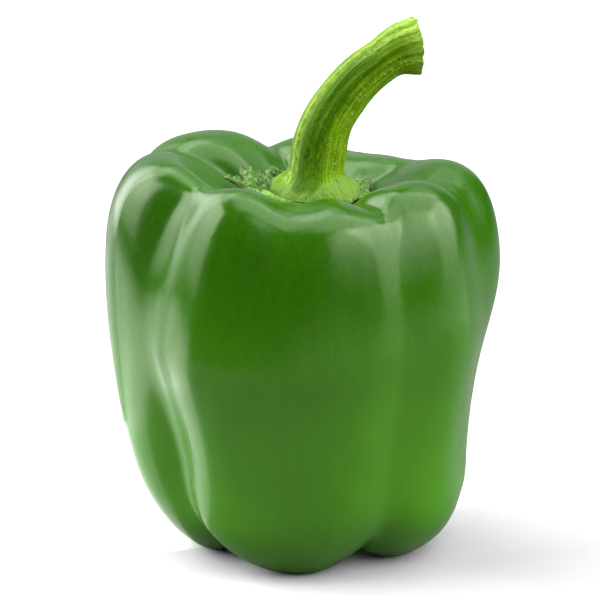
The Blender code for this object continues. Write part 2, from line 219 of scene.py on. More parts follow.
# Each lobe is an upright section through its crest, as (radius, height): inner, shoulder, outer,
# widest, toe and sole. waist and hip are radii at waistHeight and hipHeight.
# Each groove has its bearing at the shoulder, the side and the foot; its depth at the inner slope,
# the shoulder, the outer shoulder, the side, the hip and the foot; how many degrees its flanks reach
# left and right at the side and at the foot; and how soft its bottom is (near 0 is a sharp crease).
fruit = {
    "crown": {"levelRadius": 5.4, "edgeRadius": 10.35, "height": 79.0, "edgeHeight": 79.6},
    "scarHeight": 9.0,
    "waistHeight": 44.0,
    "hipHeight": 21.0,
    "axis": {"crown": (3.2, -1.0), "shoulder": (2.24, -0.7), "side": (0.0, 0.0), "scar": (0.5, -3.0)},
    "steps": [0, 6, 5, 10, 9, 12.5, 16, 23, 23.5, 18.5, 10.5, 10, 12],
    "lobes": [
        {"bearing": -130, "inner": (20.5, 86.6), "shoulder": (29.5, 90.0), "outer": (41.2, 86.1),
         "widest": (43.4, 70), "waist": 39.8, "hip": 34.8, "toe": (27.5, 7.4), "sole": (19.0, 0.8)},
        {"bearing": -82, "inner": (21.5, 82.4), "shoulder": (29.5, 89.2), "outer": (39.4, 86.4),
         "widest": (43.7, 69.5), "waist": 42.5, "hip": 38.2, "toe": (29.2, 4.7), "sole": (19.7, -0.4)},
        {"bearing": -37, "inner": (17.5, 82.8), "shoulder": (27.5, 87.6), "outer": (37.2, 82.7),
         "widest": (42.9, 62), "waist": 42.5, "hip": 36.4, "toe": (32.5, 5.2), "sole": (21.0, -0.5)},
        {"bearing": 10, "inner": (16.5, 83.3), "shoulder": (23.7, 85.1), "outer": (35.6, 80.6),
         "widest": (41.3, 60), "waist": 40.9, "hip": 36.7, "toe": (30.3, 6.4), "sole": (21.0, -0.5)},
        {"bearing": 55, "inner": (17.5, 83.8), "shoulder": (25.5, 86.9), "outer": (37.2, 82.1),
         "widest": (43.2, 64), "waist": 41.8, "hip": 37.7, "toe": (33.1, 5.1), "sole": (21.7, -0.8)},
        {"bearing": 98, "inner": (20.5, 84.4), "shoulder": (29.5, 86.7), "outer": (39.1, 81.9),
         "widest": (44.2, 66.5), "waist": 39.8, "hip": 37.4, "toe": (32.3, 7.4), "sole": (21.0, -0.2)},
        {"bearing": 143, "inner": (18.0, 84.6), "shoulder": (26.2, 84.7), "outer": (37.2, 79.8),
         "widest": (42.0, 64), "waist": 39.5, "hip": 36.0, "toe": (30.0, 7.2), "sole": (21.0, -0.2)},
        {"bearing": 182, "inner": (17.5, 84.9), "shoulder": (26.0, 87.6), "outer": (36.7, 82.9),
         "widest": (41.5, 66), "waist": 39.0, "hip": 35.5, "toe": (29.0, 7.0), "sole": (20.5, -0.5)},
    ],
    "grooves": [
        {"bearing": (-52, -52.5, -43), "depth": (2.0, 2.0, 4.0, 3.4, 4.6, 6.0),
         "side": (22, 25), "foot": (36, 42), "soft": (0.22, 0.35, 0.05)},
        {"bearing": (-10, -12, -10), "depth": (1.0, 2.5, 2.0, 1.3, 0.5, 0.0),
         "side": (27, 24), "foot": (24, 22), "soft": (0.50, 0.80, 0.60)},
        {"bearing": (29, 26, 24), "depth": (2.8, 2.9, 1.5, 0.0, 0.0, 0.0),
         "side": (24, 13), "foot": (20, 18), "soft": (0.24, 0.60, 0.60)},
        {"bearing": (38, 33, 33), "depth": (0.0, 0.4, 2.6, 1.7, 2.4, 5.2),
         "side": (15, 24), "foot": (38, 44), "soft": (0.40, 0.40, 0.06)},
        {"bearing": (78, 70, 74), "depth": (1.3, 2.6, 2.9, 1.5, 0.3, 0.0),
         "side": (24, 24), "foot": (20, 24), "soft": (0.30, 0.45, 0.60)},
        {"bearing": (120, 123, 125), "depth": (1.5, 0.8, 2.6, 3.0, 4.0, 5.5),
         "side": (26, 26), "foot": (46, 38), "soft": (0.15, 0.25, 0.06)},
        {"bearing": (166, 168, 168), "depth": (1.0, 1.6, 1.6, 0.8, 0.2, 0.0),
         "side": (24, 20), "foot": (24, 20), "soft": (0.40, 0.50, 0.60)},
        {"bearing": (199, 200, 202), "depth": (2.5, 3.0, 4.0, 3.0, 4.0, 5.8),
         "side": (20, 28), "foot": (40, 50), "soft": (0.08, 0.25, 0.06)},
        {"bearing": (250, 248, 246), "depth": (2.2, 2.8, 2.0, 1.2, 0.6, 0.0),
         "side": (18, 26), "foot": (22, 28), "soft": (0.15, 0.40, 0.60)},
    ],
    "flankPower": 2.3,
    "footShareAtHip": 0.35,
    "underShare": 0.55,             # how far in from the sole the underside turns up to the scar
    "halfStep": 0.5,
    "columnsPerLobe": 42,
    "crowding": 0.08,               # how much the columns crowd towards the grooves
    "rings": 220,
    "outlineRings": 60,
    "outlineStep": 2.0,
    "grainLength": 150,
    "grainRadius": 30,
    "swell": {"height": 0.22, "size": 17, "seed": 1, "stretch": (1, 1, 1.9)},
    "swellUpTo": 0.9,
    "pucker": {"height": 0.10, "size": 1.5, "seed": 2, "stretch": (1, 1, 6)},   # fine folds in the crown
    "puckerRadius": 14,
    "puckerShares": (0, 1, 0.8, 0),
    "scarRadius": 2.6,
    "scarRise": 1.1,
    "scarFrom": 0.8,
    "paleFrom": 0.85,
    "paleShares": (1, 0.6, 0, 0, 0.9),
    "shader": {"Roughness": 0.24, "Specular IOR Level": 0.375, "Specular Tint": (0.86, 1.0, 0.68, 1.0)},
    "clouds": {"scale": (70, 70, 45), "low": 0.35, "high": 0.70, "detail": 2},
    "streaks": {"scale": (0.9, 0.9, 0.07), "low": 0.35, "high": 0.72, "detail": 3},
    "specks": {"scale": (900, 900, 700), "low": 0.40, "high": 0.75, "detail": 2},
    "sheen": {"scale": (260, 260, 160), "low": 0.2, "high": 0.8, "detail": 2},
    "dimples": {"scale": (1100, 1100, 1100), "low": 0.25, "high": 0.75, "detail": 2},
    "pores": {"scale": (2600, 2600, 2600), "low": 0.2, "high": 0.8, "detail": 1},
    "dimpleBump": (0.020, 0.35),    # depth and strength
    "poreBump": (0.010, 0.30),
    "roughness": (0.18, 0.25),
    "corkRoughness": 0.5,
    "paintedShadeHeights": (26, 84),       # painted shade: the skin is painted darker towards the crown and lighter below
    "paintedShadeStrength": 0.80,
    "cloudShare": 0.10,
    "streakShare": 0.05,
    "speckShare": 0.10,
    "paleShare": 0.12,
    "darkGreen": (0.0125, 0.060, 0.0005),
    "lighterGreen": (0.046, 0.190, 0.0020),
    "paleGreen": (0.060, 0.200, 0.0080),
    "cork": (0.210, 0.150, 0.065),
}
stations = np.cumsum(fruit["steps"]) / sum(fruit["steps"])
crownEdge, inner, shoulder, outer, widest, hip, sole, scar = 2, 3, 4, 5, 6, 8, 10, 12


def lobeSection(lobe, along):
    crown, scarHeight = fruit["crown"], fruit["scarHeight"]
    soleRadius, soleHeight = lobe["sole"]
    points = np.array([
        (0, crown["height"]), (crown["levelRadius"], crown["height"]),
        (crown["edgeRadius"], crown["edgeHeight"]),
        lobe["inner"], lobe["shoulder"], lobe["outer"], lobe["widest"],
        (lobe["waist"], fruit["waistHeight"]), (lobe["hip"], fruit["hipHeight"]), lobe["toe"], lobe["sole"],
        (fruit["underShare"] * soleRadius, (soleHeight + scarHeight) / 2), (0, scarHeight),
    ], float)
    # mirrored ends keep the surface level at both poles
    overCrown = points[3:0:-1] * (-1, 1)
    underScar = points[-2:-5:-1] * (-1, 1)
    knots = np.concatenate([-stations[3:0:-1], stations, 2 - stations[-2:-5:-1]])
    return smoothCurve(knots, np.concatenate([overCrown, points, underScar]), along)


def fruitHull(bearings, along):
    # the lobes' sections blended round the fruit, before the grooves are pressed in
    lobes = sorted(fruit["lobes"], key=lambda lobe: lobe["bearing"])
    places = np.array([lobe["bearing"] for lobe in lobes], float)
    sections = np.array([lobeSection(lobe, along) for lobe in lobes])
    ends = np.concatenate([[places[-1] - 360], places, [places[0] + 360]])
    turned = (bearings - places[0]) % 360 + places[0]
    span = np.clip(np.searchsorted(ends, turned, side="right") - 1, 0, len(ends) - 2)
    share = (turned - ends[span]) / (ends[span + 1] - ends[span])
    # the smoothest step from one crest to the next
    share = (share ** 3 * (share * (6 * share - 15) + 10))[..., None]
    ring = np.arange(len(along))[None, :]
    before, after = sections[(span - 1) % len(lobes), ring], sections[span % len(lobes), ring]
    blended = before * (1 - share) + after * share
    radius, height = blended[..., 0], blended[..., 1]
    axis = fruit["axis"]
    marks = stations[[0, shoulder, widest, hip, scar]]
    places = np.array([axis[place] for place in ("crown", "shoulder", "side", "side", "scar")])
    middleX, middleY = (easeBetween(marks, places[:, k], along) for k in (0, 1))
    turn = np.radians(bearings)
    return np.stack([radius * np.sin(turn) + middleX, middleY - radius * np.cos(turn), height], axis=-1)


def grooveLine(groove, along):
    atShoulder, atSide, atFoot = groove["bearing"]
    marks = stations[[0, shoulder, widest, hip, sole, scar]]
    return easeBetween(marks, [atShoulder, atShoulder, atSide, atSide, atFoot, atFoot], along)


def grooveDepth(groove, bearings, along):
    depthMarks = stations[[crownEdge, inner, shoulder, outer, widest, hip, sole, scar]]
    depth = easeBetween(depthMarks, [0, *groove["depth"], 0], along)
    marks = stations[[0, shoulder, widest, hip, sole, scar]]
    atShoulder, atSide, atFoot = groove["soft"]
    soft = easeBetween(marks, [atShoulder, atShoulder, atSide, (atSide + atFoot) / 2, atFoot, atFoot], along)
    footShare = easeBetween(marks, [0, 0, 0, fruit["footShareAtHip"], 1, 1], along)
    left, right = (side + (foot - side) * footShare for side, foot in zip(groove["side"], groove["foot"]))
    away = turnBetween(bearings, grooveLine(groove, along))
    share = np.clip(np.abs(away) / np.where(away < 0, left, right), 0, 1)
    rounded = (np.sqrt(share ** 2 + soft ** 2) - soft) / (np.sqrt(1 + soft ** 2) - soft)
    return depth * (1 - rounded) ** fruit["flankPower"]


def fruitSurface(bearings, along):
    # the points of the skin and the way out of it at each
    hull, halfStep = fruitHull(bearings, along), fruit["halfStep"]
    across = fruitHull(bearings + halfStep, along) - fruitHull(bearings - halfStep, along)
    out = np.cross(np.gradient(hull, axis=1), across)
    out /= np.maximum(np.linalg.norm(out, axis=-1, keepdims=True), tiny)
    out[:, along <= 0] = (0, 0, 1)
    out[:, along >= 1] = (0, 0, -1)
    sunk = sum(grooveDepth(groove, bearings, along) for groove in fruit["grooves"])
    return hull - out * sunk[..., None], out


def fruitColumns(along):
    # columns run down the grooves, so that a crease is never cut across
    lines = [grooveLine(groove, along) for groove in fruit["grooves"]]
    lines.append(lines[0] + 360)
    shares = np.arange(fruit["columnsPerLobe"]) / fruit["columnsPerLobe"]
    shares = shares - fruit["crowding"] * np.sin(2 * math.pi * shares)
    return np.array([left + (right - left) * share
                     for left, right in zip(lines, lines[1:]) for share in shares])


def unrolled(angles, distance, radius):
    # coordinates that run round and along a piece, for grain that follows it
    turn = np.radians(angles)
    distance = np.broadcast_to(distance, turn.shape)
    return np.stack([radius * np.cos(turn), radius * np.sin(turn), distance], axis=-1)


def fruitPlace():
    # the surface stands where the CAD fruit stands: its outline's middle over the middle of the box
    rings = fruit["outlineRings"]
    bearings = np.repeat(np.arange(-180, 180, fruit["outlineStep"])[:, None], rings, axis=1)
    points, _ = fruitSurface(bearings, np.linspace(0, 1, rings))
    low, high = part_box("fruit")
    middle = np.array((low + high) / 2) / mm
    return (middle - (points.min(axis=(0, 1)) + points.max(axis=(0, 1))) / 2) * (1, 1, 0)


def waxySkin():
    skin, tree, shader = newMaterial("waxyGreenSkin", fruit["shader"])
    grain = attributeSocket(tree, "grain", "Vector")
    place = addNode(tree, "TexCoord").outputs["Object"]
    clouds = noiseMask(tree, place, **fruit["clouds"])
    streaks = noiseMask(tree, grain, **fruit["streaks"])
    specks = noiseMask(tree, place, **fruit["specks"])
    upDown = addNode(tree, "SeparateXYZ")
    tree.links.new(place, upDown.inputs[0])
    # painted shade: the colour goes from the lighter green below to the dark green towards the crown; the
    # clouds and streaks added to it are random tone
    lowHeight, highHeight = (height * mm for height in fruit["paintedShadeHeights"])
    paintedShadeAndTone = between(tree, upDown.outputs[2], lowHeight, highHeight, fruit["paintedShadeStrength"], 0.0)
    paintedShadeAndTone = combine(tree, "ADD", paintedShadeAndTone, combine(tree, "MULTIPLY", clouds, fruit["cloudShare"]))
    paintedShadeAndTone = combine(tree, "ADD", paintedShadeAndTone, combine(tree, "MULTIPLY", streaks, fruit["streakShare"]))
    colour = paint(tree, fruit["darkGreen"], fruit["lighterGreen"], paintedShadeAndTone)
    colour = paint(tree, colour, fruit["lighterGreen"], combine(tree, "MULTIPLY", specks, fruit["speckShare"]))
    pale = combine(tree, "MULTIPLY", attributeSocket(tree, "pale"), fruit["paleShare"])
    colour = paint(tree, colour, fruit["paleGreen"], pale)
    cork = attributeSocket(tree, "cork")
    colour = paint(tree, colour, fruit["cork"], cork)
    tree.links.new(colour, shader.inputs["Base Color"])
    rough = between(tree, noiseMask(tree, place, **fruit["sheen"]), 0, 1, *fruit["roughness"])
    rough = combine(tree, "ADD", rough, combine(tree, "MULTIPLY", cork, fruit["corkRoughness"]))
    tree.links.new(rough, shader.inputs["Roughness"])
    normal = addBump(tree, noiseMask(tree, place, **fruit["dimples"]), *fruit["dimpleBump"])
    normal = addBump(tree, noiseMask(tree, place, **fruit["pores"]), *fruit["poreBump"], normal)
    tree.links.new(normal, shader.inputs["Normal"])
    return skin


def buildFruit():
    along = np.interp(np.linspace(0, scar, fruit["rings"]), range(scar + 1), stations)
    bearings = fruitColumns(along)
    points, out = fruitSurface(bearings, along)
    length = fruit["grainLength"] * along
    grain = unrolled(bearings, length, fruit["grainRadius"])
    atInner, atOuter = stations[inner], stations[outer]
    toCrown = easeBetween([0, stations[crownEdge], atInner, atOuter], fruit["puckerShares"], along)
    relief = unevenness(points, fruit["swell"])
    relief = relief * easeBetween([0, atInner, fruit["swellUpTo"], 1], [0, 1, 1, 0], along)
    relief += toCrown * unevenness(unrolled(bearings, length, fruit["puckerRadius"]), fruit["pucker"])
    points = points + out * relief[..., None]
    fromScar = np.linalg.norm(points[..., :2] - points[0, -1, :2], axis=-1)
    under = np.broadcast_to(along > fruit["scarFrom"], fromScar.shape)
    corkShare = np.where(under, bump(fromScar, fruit["scarRadius"]), 0)
    points[..., 2] -= fruit["scarRise"] * corkShare
    points = points + fruitPlace()
    points[..., 2] = np.maximum(points[..., 2], 0)  # the soles are level where they stand
    pale = easeBetween([0, atInner, atOuter, fruit["paleFrom"], 1], fruit["paleShares"], along)
    pale = np.broadcast_to(pale, fromScar.shape)
    piece = gridMesh("fruitSkin", points, {"grain": grain, "pale": pale, "cork": corkShare}, waxySkin())
    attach(piece, "root")
    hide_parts("fruit")
    print("fruit:", len(piece.data.vertices), "points")
    return piece


# rim is the collar's edge, as (bearing, radius, how far it lifts off the crown there).
calyx = {
    "columns": 270,
    "rings": 58,
    "rim": [
        (-172, 12.0, 0.4), (-156, 12.8, 0.4), (-146, 14.6, 0.5), (-137, 15.8, 0.7), (-128, 14.8, 0.4),
        (-120, 15.6, 1.0), (-114, 18.0, 2.3), (-108, 18.0, 2.3), (-103, 16.6, 1.2),
        (-97, 20.4, 1.5), (-88, 16.0, 1.0),
        (-74, 14.4, 0.7), (-58, 14.2, 0.6), (-42, 13.4, 0.5), (-26, 10.6, 0.2), (0, 10.2, 0.2),
        (22, 10.3, 0.2), (44, 10.8, 0.2), (62, 11.2, 0.3), (82, 11.8, 0.4), (102, 12.2, 0.4),
        (114, 14.2, 0.6), (122, 14.4, 0.7), (131, 12.4, 0.4), (150, 12.4, 0.4), (165, 12.0, 0.4),
    ],
    "clearance": 0.35,
    "thickness": 1.2,
    "rimThickness": 0.30,
    "rimFrom": 0.45,                # from here out the leaf thins and lifts
    "liftPower": 1.6,
    "ringPower": 0.8,
    "crownRings": 80,
    "underFollows": 0.6,
    "rimRadius": 14,
    "rimLumps": [{"height": 0.45, "size": 2.2, "seed": 5}, {"height": 0.315, "size": 0.8, "seed": 6}],
    # round blisters with sharp valleys between them, as on a savoy leaf
    "wrinkle": {"height": 0.72, "size": 2.0, "seed": 3},
    "bead": {"height": 0.34, "size": 0.8, "seed": 4},
    "blister": {"valley": 3.6, "fineShare": 0.35, "fineSize": 0.5, "fineSeed": 20},
    "wrinkleFrom": 8.6,
    "wrinkleOver": 2.5,
    "pleats": {"bearing": 118, "halfWidth": 20, "count": 78, "height": 0.35, "smoothing": 0.8},
    "ridge": {"bearing": -96, "halfWidth": 13, "height": 1.5, "power": 1.2,
              "radii": (7, 10, 16, 20), "shares": (0, 1, 0.8, 0.2)},
    "bud": {"bearing": -63, "radius": 11.9, "halfAngle": 25, "halfWidth": 1.7, "height": 1.5, "power": 2.5},
    "edgeBand": ((0.0, 0.12, 0.32), (0.9, 0.5, 0)),
    # painted shade in the blisters' valleys and painted light on their rounds: the least share, and shares
    # from the large and the small blisters
    "paintedBlisterShading": (0.15, 0.55, 0.50),
    "heart": {"radii": (8.6, 11.5), "share": 0.85},
    "shader": {"Roughness": 0.30, "Specular IOR Level": 0.4, "Specular Tint": (0.85, 1.0, 0.6, 1.0)},
    "patches": {"scale": (520, 520, 520), "low": 0.40, "high": 0.62, "detail": 3, "distortion": 0.4},
    # painted highlights: bright glints laid on the blisters' rounds
    "paintedGlints": {"scale": (1300, 1300, 1300), "low": 0.48, "high": 0.64, "detail": 2},
    "grain": {"scale": (1700, 1700, 1700), "low": 0.25, "high": 0.75, "detail": 3},
    "patchShare": 0.4,
    "roughness": (0.24, 0.40),
    "grainBump": (0.12, 0.5),
    "darkLeaf": (0.006, 0.026, 0.003),
    "leaf": (0.040, 0.150, 0.010),
    "brightLeaf": (0.170, 0.340, 0.050),
    "freshBud": (0.120, 0.290, 0.008),
    "strawEdge": (0.100, 0.110, 0.035),
}


def crownHeights(bearings, radii):
    # how high the skin is at each bearing, at radii from the crown's axis
    along = np.linspace(0, stations[shoulder], calyx["crownRings"])
    points, _ = fruitSurface(np.repeat(bearings[:, None], len(along), axis=1), along)
    distance = np.linalg.norm(points[..., :2] - points[:1, :1, :2], axis=-1)
    return np.array([np.interp(wanted, d, z) for wanted, d, z in zip(radii, distance, points[..., 2])])


def ringCurve(knots, values, angles):
    # smooth closed curve through values at bearings
    around = np.concatenate([knots[-4:] - 360, knots, knots[:4] + 360])
    return smoothCurve(around, np.concatenate([values[-4:], values, values[:4]]), angles)


def calyxLeaf():
    leaf, tree, shader = newMaterial("crinkledCalyxLeaf", calyx["shader"])
    place = addNode(tree, "TexCoord").outputs["Object"]
    patches = noiseMask(tree, place, **calyx["patches"])
    paintedGlints = noiseMask(tree, place, **calyx["paintedGlints"])
    # painted shade and painted highlights: the blisters' valleys keep the dark leaf colour, their rounds turn
    # lighter, and painted glints sit on top
    paintedBlisterShading = attributeSocket(tree, "paintedBlisterShading")
    patchAmount = combine(tree, "MULTIPLY", patches, calyx["patchShare"])
    colour = paint(tree, calyx["darkLeaf"], calyx["leaf"], patchAmount)
    colour = paint(tree, colour, calyx["leaf"], paintedBlisterShading)
    colour = paint(tree, colour, calyx["brightLeaf"], combine(tree, "MULTIPLY", paintedGlints, paintedBlisterShading))
    colour = paint(tree, colour, calyx["brightLeaf"], attributeSocket(tree, "heart"))
    colour = paint(tree, colour, calyx["freshBud"], attributeSocket(tree, "bud"))
    colour = paint(tree, colour, calyx["strawEdge"], attributeSocket(tree, "edge"))
    tree.links.new(colour, shader.inputs["Base Color"])
    grain = noiseMask(tree, place, **calyx["grain"])
    tree.links.new(between(tree, grain, 0, 1, *calyx["roughness"]), shader.inputs["Roughness"])
    tree.links.new(addBump(tree, grain, *calyx["grainBump"]), shader.inputs["Normal"])
    return leaf


def blisters(points, look):
    # from -1 in the valleys to 1 on the rounds
    blister, size, seed = calyx["blister"], look["size"], look["seed"]
    fine = lumps(points, blister["fineSize"] * size, seed + blister["fineSeed"])
    return 1 - blister["valley"] * np.abs(lumps(points, size, seed) + blister["fineShare"] * fine)


def buildCalyx():
    knots = np.array(calyx["rim"], float)
    bearings = np.linspace(-180, 180, calyx["columns"], endpoint=False)
    share = np.linspace(0, 1, calyx["rings"])[None, :] ** calyx["ringPower"]
    turn = np.radians(bearings)
    edge, lift = ringCurve(knots[:, 0], knots[:, 1:], bearings).T
    rimPoints = np.stack([np.sin(turn), np.cos(turn), 0 * turn], axis=-1) * calyx["rimRadius"]
    edge = edge + sum(unevenness(rimPoints, look) for look in calyx["rimLumps"])
    radii = share * edge[:, None]
    axisX, axisY = fruit["axis"]["crown"]
    across, back = radii * np.sin(turn)[:, None], radii * np.cos(turn)[:, None]
    flat = np.stack([axisX + across, axisY - back, 0 * radii], axis=-1)
    rimFrom = calyx["rimFrom"]
    rimShare = np.clip((share - rimFrom) / (1 - rimFrom), 0, 1)
    base = crownHeights(bearings, radii) + calyx["clearance"] + lift[:, None] * rimShare ** calyx["liftPower"]
    wrinkleFrom = calyx["wrinkleFrom"]
    rough = easeBetween([wrinkleFrom, wrinkleFrom + calyx["wrinkleOver"]], [0, 1], radii)
    budLook, pleats, ridge = calyx["bud"], calyx["pleats"], calyx["ridge"]
    fromBud = np.hypot(turnBetween(bearings, budLook["bearing"])[:, None] / budLook["halfAngle"],
                       (radii - budLook["radius"]) / budLook["halfWidth"])
    bud = bump(fromBud, 1, budLook["power"])
    rough = rough * (1 - bud)
    large, small = blisters(flat, calyx["wrinkle"]), blisters(flat, calyx["bead"])
    wave = rough * (calyx["wrinkle"]["height"] * large + calyx["bead"]["height"] * small)
    inPleats = bump(turnBetween(bearings, pleats["bearing"]), pleats["halfWidth"])[:, None] * rough
    folds = pleats["height"] * np.cos(pleats["count"] * turn)[:, None]
    wave = wave * (1 - pleats["smoothing"] * inPleats) + inPleats * folds
    onRidge = bump(turnBetween(bearings, ridge["bearing"]), ridge["halfWidth"], ridge["power"])[:, None]
    wave = wave + ridge["height"] * (onRidge * easeBetween(ridge["radii"], ridge["shares"], radii))
    wave = wave + budLook["height"] * bud
    thickness = calyx["thickness"] + (calyx["rimThickness"] - calyx["thickness"]) * rimShare
    top, under = flat.copy(), flat.copy()
    top[..., 2] = base + thickness + wave
    under[..., 2] = base + calyx["underFollows"] * np.maximum(wave, 0) * rimShare
    points = np.concatenate([top, under[:, ::-1]], axis=1) + fruitPlace()
    toEdge = (1 - share) * edge[:, None]
    least, ofLarge, ofSmall = calyx["paintedBlisterShading"]
    heart = calyx["heart"]
    looks = {
        "edge": easeBetween(*calyx["edgeBand"], toEdge),
        # painted shade in the valleys, painted light on the rounds
        "paintedBlisterShading": rough * np.clip(least + ofLarge * large + ofSmall * small, 0, 1),
        "heart": easeBetween(heart["radii"], [1, 0], radii) * heart["share"],
        "bud": bud,
    }
    looks = {label: np.concatenate([values, values[:, ::-1]], axis=1) for label, values in looks.items()}
    piece = gridMesh("calyxCollar", points, looks, calyxLeaf())
    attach(piece, "root")
    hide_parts("calyx")
    print("calyx:", len(calyx["rim"]), "points on its rim,", len(piece.data.vertices), "in its mesh")
    return piece


# line is the stalk's middle, as (x, y, z, radius), from its foot to its cut end. turn goes round it:
# 0 is the left and upper side, 90 faces the front, 180 is the right and lower side.
# A rib is its turn, its height and its half width in degrees. A buttress or a swelling is the turn and
# half width of its middle, its height, and its reach along the stalk from the foot or from the cut.
stalk = {
    "columns": 190,
    "rings": 220,
    "line": [
        (3.2, -1.0, 80.3, 9.0), (3.2, -0.9, 82.0, 8.3), (3.2, -0.7, 84.0, 6.9), (3.3, -0.4, 86.3, 6.0),
        (3.7, 0.2, 89.6, 5.9), (5.2, 0.6, 95.6, 5.6), (8.4, 1.0, 101.1, 5.2), (12.7, 1.6, 106.1, 4.9),
        (17.6, 2.3, 109.9, 4.6), (22.2, 3.0, 112.4, 4.9), (25.6, 3.5, 113.2, 5.4),
    ],
    "ribs": [
        (8, 0.34, 15), (34, 0.42, 13), (60, 0.20, 11), (84, 0.36, 13), (108, 0.18, 10), (134, 0.34, 15),
        (164, 0.30, 16), (200, 0.42, 22), (240, 0.34, 22), (284, 0.42, 22), (328, 0.34, 20),
    ],
    "ribPower": 1.4,
    "ribStart": ((0, 5, 9), (0.2, 0.5, 1)),
    "twist": -12,
    "grainRadius": 5.5,
    "threads": {"height": 0.13, "size": 0.9, "seed": 7, "stretch": (1, 1, 14)},
    "gnarls": {"height": 0.10, "size": 2.6, "seed": 8, "stretch": (1, 1, 2)},
    "buttressShares": (0.2, 0.7, 1, 0),
    "buttressPower": 1.5,
    "buttresses": [
        {"turn": 0, "halfTurn": 36, "height": 2.2, "reach": (2.0, 3.6, 6.0)},
        {"turn": 178, "halfTurn": 24, "height": 1.2, "reach": (0.5, 2.4, 6.0)},
        {"turn": 262, "halfTurn": 40, "height": 1.2, "reach": (1.0, 4.0, 7.0)},
    ],
    "swellings": [
        {"turn": 172, "halfTurn": 70, "height": 1.1, "reach": (3.6, 8.0)},
        {"turn": 12, "halfTurn": 85, "height": 0.7, "reach": (3.0, 9.0)},
    ],
    "swellingShares": (1, 0.9, 0),
    "cutLumps": [{"height": 0.45, "size": 2.2, "seed": 9}, {"height": 0.225, "size": 0.8, "seed": 10}],
    "cutReach": 5,
    "slant": {"height": 1.0, "turn": 176, "halfTurn": 100},     # the cut end is shorter at its heel
    # the cut face, from its worn rim to its middle, as shares of the radius
    "faceShares": (0.97, 0.90, 0.80, 0.68, 0.56, 0.44, 0.32, 0.20, 0.10, 0.0),
    "hollow": 0.7,
    "wornRim": {"height": 0.35, "share": 0.9, "halfWidth": 0.12},
    "faceLumps": {"height": 0.25, "size": 0.8, "seed": 11},
    "faceLumpsFull": 1.5,
    # the pale skirt round the foot, as (turn, height), and how it is raised
    "skirt": [
        (0, 3.6), (24, 3.2), (50, 2.4), (78, 1.7), (100, 3.4), (140, 4.6), (180, 4.4), (270, 4.0), (360, 3.6),
    ],
    "skirtEdge": {"height": 0.9, "size": 2.0, "seed": 12},
    "skirtStep": (-0.7, 0.5),
    "skirtRise": 0.22,
    "skirtLumps": {"height": 0.42, "size": 1.2, "seed": 13, "stretch": (1, 1, 4)},
    # where the stalk is dark, lined, flecked, or painted with a highlight: a turn, a half width, a power, and
    # shares by height
    "band": (69, 46, 3.6, (0, 0.7, 0.95), (1, 0.9, 0.15)),
    "edgeLight": (32, 20, 2.4, (0, 0.15, 1), (0.4, 0.9, 0.6)),
    "upperLight": (32, 46, 3, (0.6, 0.9), (0, 0.8)),
    "fleckBand": (135, 42, 3, (0.1, 0.25, 0.85, 1), (0.3, 1, 1, 0.2)),
    "lines": ((50, 0.45), (62, 0.40), (76, 0.35), (94, 0.25), (112, 0.35), (128, 0.55)),
    "lineLook": {"halfWidth": 3.4, "fadeIn": 0.15, "fadeOut": 0.9, "shares": (0, 1, 0.9, 0.2),
                 "amount": 0.85},
    "tipReach": 4.5,
    "tipLight": 0.55,
    "cutAmount": 0.9,
    "shader": {"Roughness": 0.5, "Specular IOR Level": 0.18, "Specular Tint": (0.70, 1.0, 0.12, 1.0)},
    "threadNoise": {"scale": (2.8, 2.8, 0.16), "low": 0.40, "high": 0.60, "detail": 4},
    "mottleNoise": {"scale": (1.5, 1.5, 0.75), "low": 0.42, "high": 0.60, "detail": 5, "distortion": 1.0},
    "fineNoise": {"scale": (5.0, 5.0, 2.2), "low": 0.42, "high": 0.62, "detail": 3},
    "dashNoise": {"scale": (0.8, 0.8, 3.2), "low": 0.54, "high": 0.64, "detail": 3, "distortion": 0.7},
    "darkMottle": (1.0, 0.72),
    "lightMottle": (1.0, 0.30),
    "skirtMottle": (0.55, 1.0),
    "threadShare": 0.55,
    "fleckShare": 0.8,
    "streakShare": 0.8,
    "roughness": (0.40, 0.60),
    "threadBump": (0.16, 0.6),
    "mottleBump": (0.16, 0.5),
    "fineBump": (0.09, 0.5),
    "darkGreen": (0.019, 0.076, 0.0003),
    "midGreen": (0.140, 0.272, 0.0010),
    "paleGreen": (0.250, 0.395, 0.0620),
    "skirtGreen": (0.128, 0.238, 0.0440),
    "highlightStreakGreen": (0.300, 0.420, 0.1000),
    "pith": (0.330, 0.430, 0.140),
}


def stalkPath(rings):
    line = np.array(stalk["line"])
    knots = np.concatenate([[0], np.cumsum(np.linalg.norm(np.diff(line[:, :3], axis=0), axis=1))])
    distance = np.linspace(0, knots[-1], rings)
    path = smoothCurve(knots, line, distance)
    tangent = np.gradient(path[:, :3], axis=0)
    tangent /= np.linalg.norm(tangent, axis=1, keepdims=True)
    left = np.cross(tangent, (0, 1, 0))
    left /= np.linalg.norm(left, axis=1, keepdims=True)
    return distance, path[:, :3], path[:, 3], tangent, left, np.cross(tangent, left)


